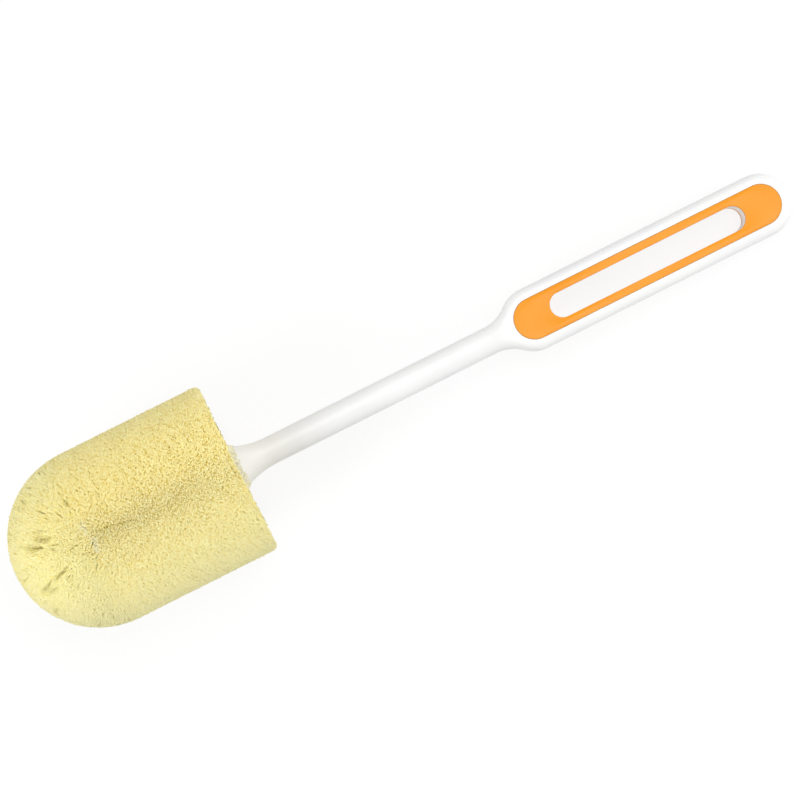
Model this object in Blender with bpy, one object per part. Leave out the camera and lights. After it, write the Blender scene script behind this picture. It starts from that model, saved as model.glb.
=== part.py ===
"""Cup brush: a white moulded handle with soft grip inlays, and a dense head of soft bristles.

The brush's own axis is X, from the bristle head to the end of the grip, with the centre of the head's
round end at X = 0. Z points out of the grip's front face. An empty lays the whole brush down as it
rests on a table: on the back rim of the bristles and on the underside of the grip's end.
All sizes are in metres.
"""

import math
import random

import bmesh
import bpy
import numpy as np
from mathutils import Vector

# Bristle head
HEAD_RADIUS = 0.02975
HEAD_STRAIGHT = 0.0504
RIM_OVERHANG = 0.0018
TUFT_PITCH = 0.0058
TUFT_GAP = 0.0020
TUFT_WANDER = 0.0005

# Core that carries the tufts
CORE_RADIUS = 0.0082
SPINE_RADIUS = 0.0045
FLANGE_THICKNESS = 0.002
SPIGOT_LENGTH = 0.020
SPIGOT_FLAT_DEPTH = 0.0007
SOCKET_WALL = 0.0017

# Handle
FLARE_ARC = 0.026
STEM_RADIUS = 0.0046
STEM_LENGTH = 0.0800
NECK_FILLET = 0.013
THICKENING_LENGTH = 0.014
PADDLE_HALF_WIDTH = 0.0105
PADDLE_STRAIGHT = 0.0824
PADDLE_THICKNESS = 0.012
PADDLE_EDGE = 0.0031

# Soft inlays and the slot
INLAY_MARGIN = 0.0037
INLAY_THICKNESS = 0.0018
INLAY_RISE = 0.0001
INLAY_EDGE = 0.0006
INLAY_BAND = 0.0026
SLOT_INSET = 0.0106

# Clearance between pieces that touch on the real brush
SEAT_GAP = 0.0003

# Fineness of the faceted surfaces
CORNER_STEPS = 8
ARC_STEPS = 6
EDGE_STEPS = 3
END_STEPS = 20
ROUND_STEPS = 32

# Places along the axis that follow from the sizes
ROWS_STRAIGHT = HEAD_STRAIGHT - RIM_OVERHANG - FLANGE_THICKNESS - SEAT_GAP
CORE_BACK = HEAD_STRAIGHT - RIM_OVERHANG
FLARE_START = CORE_BACK + SEAT_GAP
FLARE_ANGLE = math.acos(1 - (CORE_RADIUS - STEM_RADIUS) / FLARE_ARC)
STEM_START = FLARE_START + FLARE_ARC * math.sin(FLARE_ANGLE)
STEM_END = STEM_START + STEM_LENGTH
NECK_REACH = math.sqrt((NECK_FILLET + PADDLE_HALF_WIDTH) ** 2 - (NECK_FILLET + STEM_RADIUS) ** 2)
NECK_ANGLE = math.asin(NECK_REACH / (NECK_FILLET + PADDLE_HALF_WIDTH))
PADDLE_START = STEM_END + NECK_REACH
PADDLE_END = PADDLE_START + PADDLE_STRAIGHT
INLAY_HALF_WIDTH = PADDLE_HALF_WIDTH - INLAY_MARGIN
SLOT_HALF_WIDTH = INLAY_HALF_WIDTH - INLAY_BAND
INLAY_TOP = PADDLE_THICKNESS / 2 + INLAY_RISE
INLAY_ROUND = min(INLAY_EDGE, INLAY_BAND / 3, INLAY_THICKNESS / 2)
GRIP_EDGE = min(PADDLE_EDGE, INLAY_MARGIN - 2 * SEAT_GAP, PADDLE_THICKNESS / 2)
SPIGOT_RADIUS = STEM_RADIUS - SOCKET_WALL - SEAT_GAP
SPIGOT_FLAT = SPIGOT_RADIUS - SPIGOT_FLAT_DEPTH


def clear_scene():
    """Remove whatever the file holds."""
    for obj in list(bpy.data.objects):
        bpy.data.objects.remove(obj, do_unlink=True)


def make_material(name, colour, roughness, metallic=0.0):
    """A plain Principled material in the part's own colour."""
    material = bpy.data.materials.new(name)
    material.use_nodes = True
    shader = material.node_tree.nodes["Principled BSDF"]
    shader.inputs["Base Color"].default_value = (*colour, 1.0)
    shader.inputs["Roughness"].default_value = roughness
    shader.inputs["Metallic"].default_value = metallic
    return material


def make_object(name, bm, parent, material=None):
    """Turn a bmesh into a smooth-shaded object, with its outside facing out."""
    bmesh.ops.recalc_face_normals(bm, faces=bm.faces)
    mesh = bpy.data.meshes.new(name)
    bm.to_mesh(mesh)
    bm.free()
    mesh.shade_smooth()
    mesh.set_sharp_from_angle(angle=math.radians(35))
    obj = bpy.data.objects.new(name, mesh)
    bpy.context.collection.objects.link(obj)
    obj.parent = parent
    if material:
        mesh.materials.append(material)
    return obj


def cut(obj, cutter):
    """Take the cutter's shape out of an object."""
    cutter.display_type = "WIRE"
    cutter.hide_render = True
    boolean = obj.modifiers.new(cutter.name, "BOOLEAN")
    boolean.operation = "DIFFERENCE"
    boolean.solver = "EXACT"
    boolean.object = cutter


def loft(bm, rings, start_cap=True, end_cap=True):
    """Skin a list of closed rings. A ring of one point is a pole."""
    skins = [[bm.verts.new(point) for point in ring] for ring in rings]
    for ring, following in zip(skins, skins[1:]):
        count = max(len(ring), len(following))
        for i in range(count):
            j = (i + 1) % count
            if len(ring) == 1:
                bm.faces.new((ring[0], following[j], following[i]))
            elif len(following) == 1:
                bm.faces.new((ring[i], ring[j], following[0]))
            else:
                bm.faces.new((ring[i], ring[j], following[j], following[i]))
    if start_cap and len(skins[0]) > 1:
        bm.faces.new(list(reversed(skins[0])))
    if end_cap and len(skins[-1]) > 1:
        bm.faces.new(skins[-1])
    return skins


def circle(x, radius, flat=None):
    """A ring of points round the axis, with two flats across Z if a half-height is given."""
    points = []
    for i in range(ROUND_STEPS):
        angle = 2 * math.pi * i / ROUND_STEPS
        z = radius * math.cos(angle)
        if flat:
            z = max(-flat, min(flat, z))
        points.append(Vector((x, radius * math.sin(angle), z)))
    return points


def half_section(x, half_width, half_height, corner):
    """One side of a rounded bar's section, from the middle of its top to the middle of its bottom."""
    corner = min(corner, half_width, half_height)
    points = [Vector((x, 0, half_height))]
    for side in (1, -1):
        for i in range(CORNER_STEPS + 1):
            turn = math.pi / 2 * (i if side > 0 else CORNER_STEPS - i) / CORNER_STEPS
            y = half_width - corner + corner * math.sin(turn)
            z = side * (half_height - corner + corner * math.cos(turn))
            points.append(Vector((x, y, z)))
    points.append(Vector((x, 0, -half_height)))
    return points


def whole_section(x, half_width, half_height, corner):
    """The closed ring of a rounded bar's section."""
    right = half_section(x, half_width, half_height, corner)
    left = [Vector((p.x, -p.y, p.z)) for p in reversed(right[1:-1])]
    return right + left


def stadium(first, last, radius, z):
    """A closed outline with two straight sides and round ends centred at two places along X.

    Its sides touch the true outline from outside, with the corners between them half a step off the
    places where the round ends begin.
    """
    points = []
    step = math.pi / END_STEPS
    reach = radius / math.cos(step / 2)
    for centre, start in ((last, -math.pi / 2), (first, math.pi / 2)):
        for i in range(END_STEPS):
            angle = start + step * (i + 0.5)
            points.append(Vector((centre + reach * math.cos(angle), reach * math.sin(angle), z)))
    return points


def smooth_step(value):
    """Ease from 0 to 1."""
    value = max(0.0, min(1.0, value))
    return value * value * (3 - 2 * value)


def handle_stations():
    """Places along the handle, with the half-width there: flare, stem, neck fillet and neck arc."""
    stations = []
    for i in range(ARC_STEPS + 3):
        turn = FLARE_ANGLE * (1 - i / (ARC_STEPS + 2))
        x = STEM_START - FLARE_ARC * math.sin(turn)
        stations.append((x, STEM_RADIUS + FLARE_ARC * (1 - math.cos(turn))))
    thicken_start = thickening_start()
    for i in range(ARC_STEPS):
        x = thicken_start + (STEM_END - thicken_start) * i / ARC_STEPS
        if stations[-1][0] < x < STEM_END:
            stations.append((x, STEM_RADIUS))
    for i in range(ARC_STEPS + 1):
        turn = NECK_ANGLE * i / ARC_STEPS
        x = STEM_END + NECK_FILLET * math.sin(turn)
        stations.append((x, STEM_RADIUS + NECK_FILLET * (1 - math.cos(turn))))
    for i in range(1, ARC_STEPS + 1):
        turn = NECK_ANGLE * (1 - i / ARC_STEPS)
        x = PADDLE_START - PADDLE_HALF_WIDTH * math.sin(turn)
        stations.append((x, PADDLE_HALF_WIDTH * math.cos(turn)))
    stations.append((PADDLE_END, PADDLE_HALF_WIDTH))
    return stations


def thickening_start():
    """Where the stem starts to swell to the grip's thickness, which it has where the inlay begins."""
    return PADDLE_START - INLAY_HALF_WIDTH - 2 * SEAT_GAP - THICKENING_LENGTH


def handle_body(bm):
    """Loft the handle along its axis, then spin its last section round the grip's end."""
    rings = []
    for x, half_width in handle_stations():
        share = smooth_step((x - thickening_start()) / THICKENING_LENGTH)
        half_height = half_width + share * (PADDLE_THICKNESS / 2 - half_width)
        corner = half_width + share * (GRIP_EDGE - half_width)
        rings.append(whole_section(x, half_width, half_height, corner))
    skins = loft(bm, rings, end_cap=False)
    last = skins[-1][: 2 * CORNER_STEPS + 4]
    edges = [bm.edges.get((a, b)) for a, b in zip(last, last[1:])]
    bmesh.ops.spin(bm, geom=last + edges, cent=(PADDLE_END, 0, 0), axis=(0, 0, 1),
                   angle=-math.pi, steps=END_STEPS)
    bmesh.ops.remove_doubles(bm, verts=bm.verts, dist=1e-6)


def make_handle(parent, material):
    """The white moulding: flare, stem, neck and grip, with its socket, recesses and slot."""
    bm = bmesh.new()
    handle_body(bm)
    handle = make_object("handle", bm, parent, material)

    bm = bmesh.new()
    radius = SPIGOT_RADIUS + SEAT_GAP
    flat = SPIGOT_FLAT + SEAT_GAP
    bottom = CORE_BACK + SPIGOT_LENGTH + SEAT_GAP
    loft(bm, [circle(CORE_BACK, radius, flat), circle(bottom, radius, flat)])
    cut(handle, make_object("socket_cutter", bm, parent))

    floor = INLAY_TOP - INLAY_THICKNESS - SEAT_GAP
    for name, side in (("front_recess_cutter", 1), ("back_recess_cutter", -1)):
        bm = bmesh.new()
        radius = INLAY_HALF_WIDTH + SEAT_GAP
        loft(bm, [stadium(PADDLE_START, PADDLE_END, radius, side * floor),
                  stadium(PADDLE_START, PADDLE_END, radius, side * PADDLE_THICKNESS)])
        cut(handle, make_object(name, bm, parent))

    bm = bmesh.new()
    loft(bm, [slot_outline(-PADDLE_THICKNESS), slot_outline(PADDLE_THICKNESS)])
    cut(handle, make_object("slot_cutter", bm, parent))
    return handle


def slot_outline(z, grow=0.0):
    """The hanging slot's outline, optionally opened out by a rounded edge."""
    return stadium(PADDLE_START + SLOT_INSET, PADDLE_END - SLOT_INSET, SLOT_HALF_WIDTH + grow, z)


def make_inlay(name, side, parent, material):
    """A soft ring with rounded top edges that fills one recess and opens on the slot."""
    bottom = INLAY_TOP - INLAY_THICKNESS
    outer = [stadium(PADDLE_START, PADDLE_END, INLAY_HALF_WIDTH, bottom)]
    inner = [slot_outline(bottom)]
    for i in range(EDGE_STEPS + 1):
        turn = math.pi / 2 * i / EDGE_STEPS
        inset = INLAY_ROUND * (1 - math.cos(turn))
        z = INLAY_TOP - INLAY_ROUND * (1 - math.sin(turn))
        outer.append(stadium(PADDLE_START, PADDLE_END, INLAY_HALF_WIDTH - inset, z))
        inner.append(slot_outline(z, inset))
    rings = outer + list(reversed(inner))
    rings = [[Vector((p.x, p.y, side * p.z)) for p in ring] for ring in rings]
    bm = bmesh.new()
    skins = loft(bm, rings, start_cap=False, end_cap=False)
    count = len(skins[0])
    for i in range(count):
        j = (i + 1) % count
        bm.faces.new((skins[-1][i], skins[-1][j], skins[0][j], skins[0][i]))
    return make_object(name, bm, parent, material)


def make_spine(parent, material):
    """The stick inside the head: ball end, flange against the flare, and a spigot with two flats."""
    chamfer = SEAT_GAP
    rings = [[Vector((-SPINE_RADIUS, 0, 0))]]
    for i in range(1, ARC_STEPS + 1):
        turn = math.pi / 2 * i / ARC_STEPS
        rings.append(circle(-SPINE_RADIUS * math.cos(turn), SPINE_RADIUS * math.sin(turn)))
    flange_front = CORE_BACK - FLANGE_THICKNESS
    rings.append(circle(flange_front, SPINE_RADIUS))
    rings.append(circle(flange_front, CORE_RADIUS))
    rings.append(circle(CORE_BACK, CORE_RADIUS))
    rings.append(circle(CORE_BACK, SPIGOT_RADIUS, SPIGOT_FLAT))
    spigot_end = CORE_BACK + SPIGOT_LENGTH
    rings.append(circle(spigot_end - chamfer, SPIGOT_RADIUS, SPIGOT_FLAT))
    rings.append(circle(spigot_end, SPIGOT_RADIUS - chamfer, SPIGOT_FLAT - chamfer))
    bm = bmesh.new()
    loft(bm, rings)
    return make_object("core_spine", bm, parent, material)


def outline_point(radius, straight, place):
    """A point of the head's half outline: place 0 is the pole, 1 the dome's rim, 2 the back."""
    if place <= 1:
        turn = math.pi / 2 * place
        return -radius * math.cos(turn), radius * math.sin(turn)
    return (place - 1) * straight, radius


def step_along(radius, straight, place, distance):
    """Move a place on the outline by a distance, without leaving its dome or its straight part."""
    length = straight if distance > 0 and place >= 1 or place > 1 else radius * math.pi / 2
    return place + distance / length


def row_edges(radius, straight, start, end, gap):
    """The two outline points between which a row stands, half a gap inside its share."""
    first = start if start <= 0 else step_along(radius, straight, start, gap / 2)
    last = step_along(radius, straight, end, -gap / 2)
    return outline_point(radius, straight, first), outline_point(radius, straight, last)


def around(point, angle):
    """Turn an outline point round the axis. Angle 0 points down."""
    x, radius = point
    return Vector((x, radius * math.sin(angle), -radius * math.cos(angle)))


def tuft_row(bm, start, end, count, phase, chance):
    """A slice of the core with its ring of tufts, each a tapered strand of three or four sides.

    The slice is a band turned round the axis in as many steps as it has tufts. Each outer facet grows
    into one strand, which fans out to its share of the head's surface. On the pole, the facets are
    triangles. A tip wanders within the gap round it, so no two strands meet.
    """
    bore = row_edges(SPINE_RADIUS + SEAT_GAP, ROWS_STRAIGHT, start, end, SEAT_GAP)
    root = row_edges(CORE_RADIUS, ROWS_STRAIGHT, start, end, SEAT_GAP)
    tip = row_edges(HEAD_RADIUS, HEAD_STRAIGHT, start, end, TUFT_GAP)
    step = 2 * math.pi / count
    on_pole = start <= 0

    def ring(point):
        return [bm.verts.new(around(point, (i + phase - 0.5) * step)) for i in range(count)]

    def single(point):
        return [bm.verts.new(around(point, 0))] * count

    bore_rings = [single(bore[0]) if on_pole else ring(bore[0]), ring(bore[1])]
    root_rings = [single(root[0]) if on_pole else ring(root[0]), ring(root[1])]

    for i in range(count):
        j = (i + 1) % count
        quad(bm, bore_rings[0][j], bore_rings[0][i], bore_rings[1][i], bore_rings[1][j])
        quad(bm, bore_rings[1][j], bore_rings[1][i], root_rings[1][i], root_rings[1][j])
        if not on_pole:
            quad(bm, bore_rings[0][i], bore_rings[0][j], root_rings[0][j], root_rings[0][i])
        foot = [root_rings[0][i], root_rings[0][j], root_rings[1][j], root_rings[1][i]]
        middle = (i + phase) * step
        wander = min(TUFT_WANDER, TUFT_GAP / 4)
        middle += chance.uniform(-wander, wander) / max(tip[1][1], TUFT_PITCH)
        corners = tip_corners(tip, middle, step, on_pole)
        if on_pole:
            foot = foot[1:]
            corners = corners[1:]
        crown = [bm.verts.new(corner) for corner in corners]
        bm.faces.new(crown)
        for a in range(len(foot)):
            b = (a + 1) % len(foot)
            bm.faces.new((foot[a], foot[b], crown[b], crown[a]))


def tip_corners(tip, middle, step, on_pole):
    """The corners of a strand's tip, half a gap inside its share of the ring."""
    corners = []
    for point in tip:
        half = max(step / 2 - TUFT_GAP / 2 / max(point[1], TUFT_GAP), step / 8)
        corners.append((around(point, middle - half), around(point, middle + half)))
    if on_pole:
        turn = TUFT_GAP / 2 / math.sin(step / 2) / HEAD_RADIUS
        apex = around(outline_point(HEAD_RADIUS, HEAD_STRAIGHT, turn / (math.pi / 2)), middle)
        corners[0] = (apex, apex)
    return [corners[0][0], corners[0][1], corners[1][1], corners[1][0]]


def quad(bm, *corners):
    """A face through the corners, less those that are the same point."""
    distinct = []
    for corner in corners:
        if corner not in distinct:
            distinct.append(corner)
    bm.faces.new(distinct)


def row_places():
    """Split the outline into rows of about one pitch: the tip, the dome's rows, then the straight's."""
    dome_rows = max(2, round(HEAD_RADIUS * math.pi / 2 / TUFT_PITCH))
    straight_rows = max(1, round(HEAD_STRAIGHT / TUFT_PITCH))
    places = [i / dome_rows for i in range(dome_rows + 1)]
    places += [1 + i / straight_rows for i in range(1, straight_rows + 1)]
    return list(zip(places, places[1:]))


def make_bristles(parent, material):
    """All the rows of the head, numbered from the collar to the tip."""
    rows = row_places()
    chance = random.Random(3)
    for index, (start, end) in enumerate(reversed(rows)):
        middle = outline_point(HEAD_RADIUS, HEAD_STRAIGHT, (start + end) / 2)
        count = max(5, round(2 * math.pi * middle[1] / TUFT_PITCH))
        bm = bmesh.new()
        tuft_row(bm, start, end, count, 0.5 * (index % 2), chance)
        name = "bristle_tip" if start <= 0 else f"bristle_row_{index + 1:02d}"
        make_object(name, bm, parent, material)


def resting_tilt():
    """The angle of the line that touches the bristles' back rim and the grip's end from below.

    The grip's end is two rounded edges, the moulding's own and the inlay's, and the line passes under
    both, so the lower of their two tangents counts.
    """
    rim = Vector((HEAD_STRAIGHT - TUFT_GAP / 2, -HEAD_RADIUS))
    moulding = Vector((PADDLE_END + PADDLE_HALF_WIDTH - GRIP_EDGE, GRIP_EDGE - PADDLE_THICKNESS / 2))
    inlay = Vector((PADDLE_END + INLAY_HALF_WIDTH - INLAY_ROUND, INLAY_ROUND - INLAY_TOP))
    tangents = []
    for centre, radius in ((moulding, GRIP_EDGE), (inlay, INLAY_ROUND)):
        span = centre - rim
        tangents.append(math.atan2(span.y, span.x) - math.asin(radius / span.length))
    return min(tangents)


def lay_down(root):
    """Turn the brush about Y until it rests, and put its base's middle at the world's origin."""
    root.rotation_euler = (0, resting_tilt(), 0)
    bpy.context.view_layer.update()
    low = np.full(3, np.inf)
    high = np.full(3, -np.inf)
    for obj in root.children:
        if obj.hide_render:
            continue
        points = np.array([obj.matrix_world @ v.co for v in obj.data.vertices])
        low = np.minimum(low, points.min(axis=0))
        high = np.maximum(high, points.max(axis=0))
    root.location = (-(low[0] + high[0]) / 2, -(low[1] + high[1]) / 2, -low[2])
    bpy.context.view_layer.update()


def main():
    clear_scene()
    root = bpy.data.objects.new("cup_brush", None)
    bpy.context.collection.objects.link(root)
    white = make_material("white_polypropylene", (0.90, 0.90, 0.90), 0.28)
    orange = make_material("orange_soft_rubber", (1.0, 0.44, 0.12), 0.45)
    natural = make_material("core_polypropylene", (0.86, 0.84, 0.76), 0.4)
    yellow = make_material("yellow_polyester_bristle", (0.88, 0.75, 0.30), 0.5)
    make_handle(root, white)
    make_inlay("grip_inlay_front", 1, root, orange)
    make_inlay("grip_inlay_back", -1, root, orange)
    make_spine(root, natural)
    make_bristles(root, yellow)
    lay_down(root)


main()
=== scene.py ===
"""A cup brush dressed for rendering: white moulded handle, soft grip inlays and a dense filament head.

Every surface is worked out with numpy in the brush's own lengthwise frame, in metres: X runs from the
bristle head to the grip with the centre of the round end at X = 0, and Z points out of the grip's
front face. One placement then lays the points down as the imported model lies.
"""

import logging
import math
from dataclasses import dataclass, field, fields
from enum import Enum

import bmesh
import bpy
import numpy as np
from mathutils import Matrix

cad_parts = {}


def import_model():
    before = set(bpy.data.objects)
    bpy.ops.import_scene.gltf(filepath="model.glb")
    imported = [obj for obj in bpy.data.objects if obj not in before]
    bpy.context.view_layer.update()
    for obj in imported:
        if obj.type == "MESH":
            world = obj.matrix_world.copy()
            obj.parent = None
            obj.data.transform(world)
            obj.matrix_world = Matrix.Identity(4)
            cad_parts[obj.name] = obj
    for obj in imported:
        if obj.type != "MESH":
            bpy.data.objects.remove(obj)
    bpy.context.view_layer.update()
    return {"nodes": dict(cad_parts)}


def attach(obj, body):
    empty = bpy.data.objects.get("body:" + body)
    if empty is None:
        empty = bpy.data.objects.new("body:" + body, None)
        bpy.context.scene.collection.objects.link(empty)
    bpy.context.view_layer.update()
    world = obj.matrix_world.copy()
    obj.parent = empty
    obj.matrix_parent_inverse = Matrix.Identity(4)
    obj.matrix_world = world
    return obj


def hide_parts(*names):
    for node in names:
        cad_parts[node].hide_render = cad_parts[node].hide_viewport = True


LOG = logging.getLogger("cup_brush")
GOLDEN_ANGLE = math.pi * (3 - math.sqrt(5))
FULL_TURN = 2 * np.pi
# Corners of a grid cell in the order of a face: steps across it and steps along it.
CELL = ((0, 0), (0, 1), (1, 1), (1, 0))
# A length in metres below which no length counts when it divides.
TINY = 1e-9


# Placement and mesh making


@dataclass(frozen=True)
class Placement:
    """How the brush lies on the table: tipped about Y, then moved.

    Attributes:
        tilt: Angle in degrees by which the grip end sinks.
        place: World position of the centre of the head's round end, in metres.
    """

    tilt: float = 6.831134
    place: tuple[float, float, float] = (-0.109729, 0.0, 0.035405)

    def turn(self) -> np.ndarray:
        """Return the 3 by 3 matrix whose columns are the brush's own axes in the world."""
        a = math.radians(self.tilt)
        return np.array([[math.cos(a), 0, math.sin(a)], [0, 1, 0], [-math.sin(a), 0, math.cos(a)]])

    def to_world(self, points: np.ndarray) -> np.ndarray:
        """Turn and move points from the brush's own frame to the world.

        Args:
            points: Array whose last axis holds x, y, z.

        Returns:
            An array of the same shape.
        """
        return points @ self.turn().T + np.array(self.place)


LIE = Placement()


class Ends(Enum):
    """What closes the two ends of a skinned stack of rings."""

    CAPPED = "capped"
    JOINED = "joined"


def ring_quads(rows: int, columns: int, joined: bool) -> np.ndarray:
    """Index the quads of a grid whose columns close on themselves.

    Args:
        rows: Number of rings.
        columns: Points in a ring.
        joined: True if the last ring joins the first one, as on a hoop.

    Returns:
        Array of vertex indices, one row of four for each quad.
    """
    across = np.arange(columns)
    along = np.arange(rows if joined else rows - 1)[:, None]
    near, far = along * columns, (along + 1) % rows * columns
    quads = np.stack([near + across, near + (across + 1) % columns,
                      far + (across + 1) % columns, far + across], axis=-1)
    return quads.reshape(-1, 4)


def skin(name: str, rings: np.ndarray, ends: Ends) -> bpy.types.Mesh:
    """Make a closed mesh from a stack of closed rings.

    Args:
        name: Mesh name.
        rings: Array of shape (rings, points, 3) in the brush's own frame.
        ends: Whether flat faces close the stack or its last ring joins its first.

    Returns:
        The mesh, with doubles merged and its faces pointing outwards.
    """
    rows, columns = rings.shape[:2]
    joined = ends is Ends.JOINED
    faces = ring_quads(rows, columns, joined).tolist()
    if not joined:
        faces.append(list(range(columns))[::-1])
        faces.append(list(range((rows - 1) * columns, rows * columns)))
    mesh = bpy.data.meshes.new(name)
    mesh.from_pydata(LIE.to_world(rings).reshape(-1, 3), [], faces)
    return tidied(mesh)


def tidied(mesh: bpy.types.Mesh) -> bpy.types.Mesh:
    """Merge a mesh's doubles, drop what that leaves without area, and point its faces outwards.

    Args:
        mesh: The mesh, which is changed in place.

    Returns:
        The same mesh.
    """
    # Distance within which vertices are one, and length under which an edge goes.
    merged, vanishing = 2e-6, 1e-7
    bm = bmesh.new()
    bm.from_mesh(mesh)
    bmesh.ops.remove_doubles(bm, verts=bm.verts, dist=merged)
    bmesh.ops.dissolve_degenerate(bm, edges=bm.edges, dist=vanishing)
    bmesh.ops.recalc_face_normals(bm, faces=bm.faces)
    bm.to_mesh(mesh)
    bm.free()
    return mesh


def put(name: str, data: bpy.types.ID) -> bpy.types.Object:
    """Make an object and link it to the scene.

    Args:
        name: The object's name.
        data: Its mesh, lamp or camera.

    Returns:
        The object, at the origin.
    """
    thing = bpy.data.objects.new(name, data)
    bpy.context.collection.objects.link(thing)
    return thing


def add_piece(mesh: bpy.types.Mesh, material: bpy.types.Material, slot: str, *nodes: str) -> bpy.types.Object:
    """Put a finished mesh in the scene as a piece that stands for CAD nodes.

    Args:
        mesh: The mesh, in world coordinates.
        material: Its finish.
        slot: The record's material slot; not used.
        *nodes: The CAD nodes that the piece replaces.

    Returns:
        The new object, at the origin, riding on the brush's one body.
    """
    piece = put(mesh.name, mesh)
    mesh.materials.clear()
    mesh.materials.append(material)
    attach(piece, "root")
    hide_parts(*nodes)
    LOG.info("%s: %d faces, for %s", piece.name, len(mesh.polygons), ", ".join(nodes))
    return piece


def filled(name: str, points: np.ndarray, quads: np.ndarray, triangles: np.ndarray) -> bpy.types.Mesh:
    """Make a mesh of quads that are shaded smooth and triangles that are shaded flat.

    Args:
        name: Mesh name.
        points: Vertices in the world.
        quads: Vertex indices, four in a row.
        triangles: Vertex indices, three in a row.

    Returns:
        The mesh, with its quads first.
    """
    loops = np.concatenate([quads.ravel(), triangles.ravel()]).astype(np.int32)
    sizes = np.repeat([4, 3], [len(quads), len(triangles)])
    starts = np.concatenate([[0], np.cumsum(sizes)[:-1]]).astype(np.int32)
    mesh = bpy.data.meshes.new(name)
    mesh.vertices.add(len(points))
    mesh.vertices.foreach_set("co", points.astype(np.float32).ravel())
    mesh.loops.add(len(loops))
    mesh.loops.foreach_set("vertex_index", loops)
    mesh.polygons.add(len(sizes))
    mesh.polygons.foreach_set("loop_start", starts)
    mesh.update(calc_edges=True)
    mesh.polygons.foreach_set("use_smooth", sizes == 4)
    return mesh


def smooth_share(value: np.ndarray) -> np.ndarray:
    """Ease from 0 to 1: three times the square less twice the cube of the clamped value."""
    value = np.clip(value, 0, 1)
    return value * value * (3 - 2 * value)


def around(x: np.ndarray, away: np.ndarray, angle: np.ndarray) -> np.ndarray:
    """Points turned about the brush's axis. Angle 0 points down, at the back of the grip.

    Args:
        x: Places along the axis.
        away: Distances from it.
        angle: Turns about it.

    Returns:
        Array with x, the distance times the sine and less the distance times the cosine on its last axis.
    """
    return np.stack(np.broadcast_arrays(x, away * np.sin(angle), -away * np.cos(angle)), axis=-1)


def stadium(first: float, last: float, radius: float, arc: int = 40, side: int = 20) -> np.ndarray:
    """An outline of two straight sides and two round ends.

    Points run round the end at last, back along the upper side, round the end at first, and along
    the lower side: a half circle is centre plus radius times cosine and sine of an even turn, and a
    side is an even division of the line between the two ends.

    Args:
        first: X of the first end's centre.
        last: X of the second end's centre.
        radius: Radius of the ends, and half the distance between the sides.
        arc: Steps in each half circle.
        side: Steps in each straight side.

    Returns:
        Array of shape (2 * (arc + side), 2).
    """
    turn = np.linspace(-np.pi / 2, np.pi / 2, arc, endpoint=False)
    line = np.linspace(0, 1, side, endpoint=False)
    across, up, level = radius * np.cos(turn), radius * np.sin(turn), np.full(side, radius)
    parts = ((last + across, up), (last + (first - last) * line, level),
             (first - across, -up), (first + (last - first) * line, -level))
    return np.concatenate([np.column_stack(part) for part in parts])


# Finishes


def linear(colour: str) -> tuple[float, float, float, float]:
    """Turn an sRGB hex colour into Blender's linear one.

    Args:
        colour: Six hex digits after a hash sign.

    Returns:
        Linear red, green and blue, and an alpha of one.
    """
    shares = [int(colour[i:i + 2], 16) / 255 for i in (1, 3, 5)]
    red, green, blue = (s / 12.92 if s <= 0.04045 else ((s + 0.055) / 1.055) ** 2.4 for s in shares)
    return (red, green, blue, 1.0)


def add_node(tree: bpy.types.NodeTree, kind: str, settings: dict[str, str] | None = None,
             **inputs: object) -> bpy.types.Node:
    """Add a shader node with its settings, values and links.

    Args:
        tree: The node tree.
        kind: Blender's type name of the node.
        settings: The node's own properties.
        **inputs: A value or an output socket for each input, named in lower case with underscores,
            or as in_0, in_1 and so on where a name isn't unique.

    Returns:
        The new node.
    """
    node = tree.nodes.new(kind)
    for key, value in (settings or {}).items():
        setattr(node, key, value)
    for key, value in inputs.items():
        if key.startswith("in_"):
            socket = node.inputs[int(key[3:])]
        else:
            socket = node.inputs[key.replace("_", " ").title()]
        if isinstance(value, bpy.types.NodeSocket):
            tree.links.new(value, socket)
        else:
            socket.default_value = value
    return node


def empty_tree(owner: bpy.types.Material | bpy.types.World) -> bpy.types.NodeTree:
    """Give a material or a world an empty node tree.

    Args:
        owner: The material or the world.

    Returns:
        Its tree.
    """
    owner.use_nodes = True
    owner.node_tree.nodes.clear()
    return owner.node_tree


def new_material(name: str) -> tuple[bpy.types.Material, bpy.types.NodeTree, bpy.types.Node]:
    """Make an empty material that holds only a Principled shader and an output.

    Args:
        name: The material's name.

    Returns:
        The material, its node tree and its shader.
    """
    material = bpy.data.materials.new(name)
    tree = empty_tree(material)
    shader = add_node(tree, "ShaderNodeBsdfPrincipled")
    add_node(tree, "ShaderNodeOutputMaterial", surface=shader.outputs[0])
    return material, tree, shader


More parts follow.
